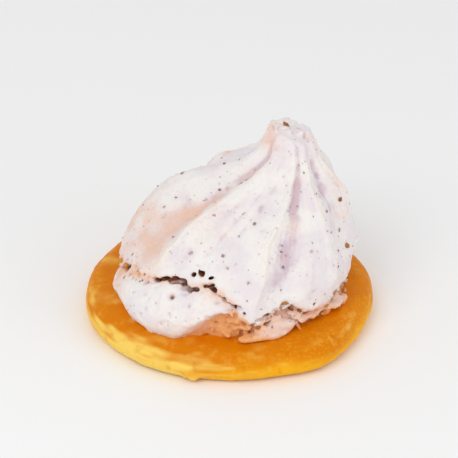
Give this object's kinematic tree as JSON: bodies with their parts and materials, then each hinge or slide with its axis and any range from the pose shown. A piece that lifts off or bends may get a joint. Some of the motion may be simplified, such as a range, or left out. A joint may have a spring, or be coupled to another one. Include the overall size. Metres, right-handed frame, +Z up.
{
  "type": "macaron biscuit",
  "caption": "Round shortbread biscuit with a tall, blunt-peaked swirl of nut meringue baked on top, cracked and ragged at its foot.",
  "frame": {"origin": "middle of the round biscuit, on the surface that it rests on", "axes": "+Z up through the biscuit towards the meringue's peak; -Y is the front, where the baking crack gapes; +X is to the right of a viewer in front, the side the peak leans to"},
  "size_m": [0.058, 0.0584, 0.0415],
  "materials": {
    "shortbread": "golden baked shortbread, fine dry grain with a faint buttery sheen",
    "meringue": "dry matt baked meringue with cream crests, toasted beige cracks and specks of nut"
  },
  "bodies": {
    "root": {"biscuit": "shortbread", "meringue": "meringue"}
  },
  "joints": []
}
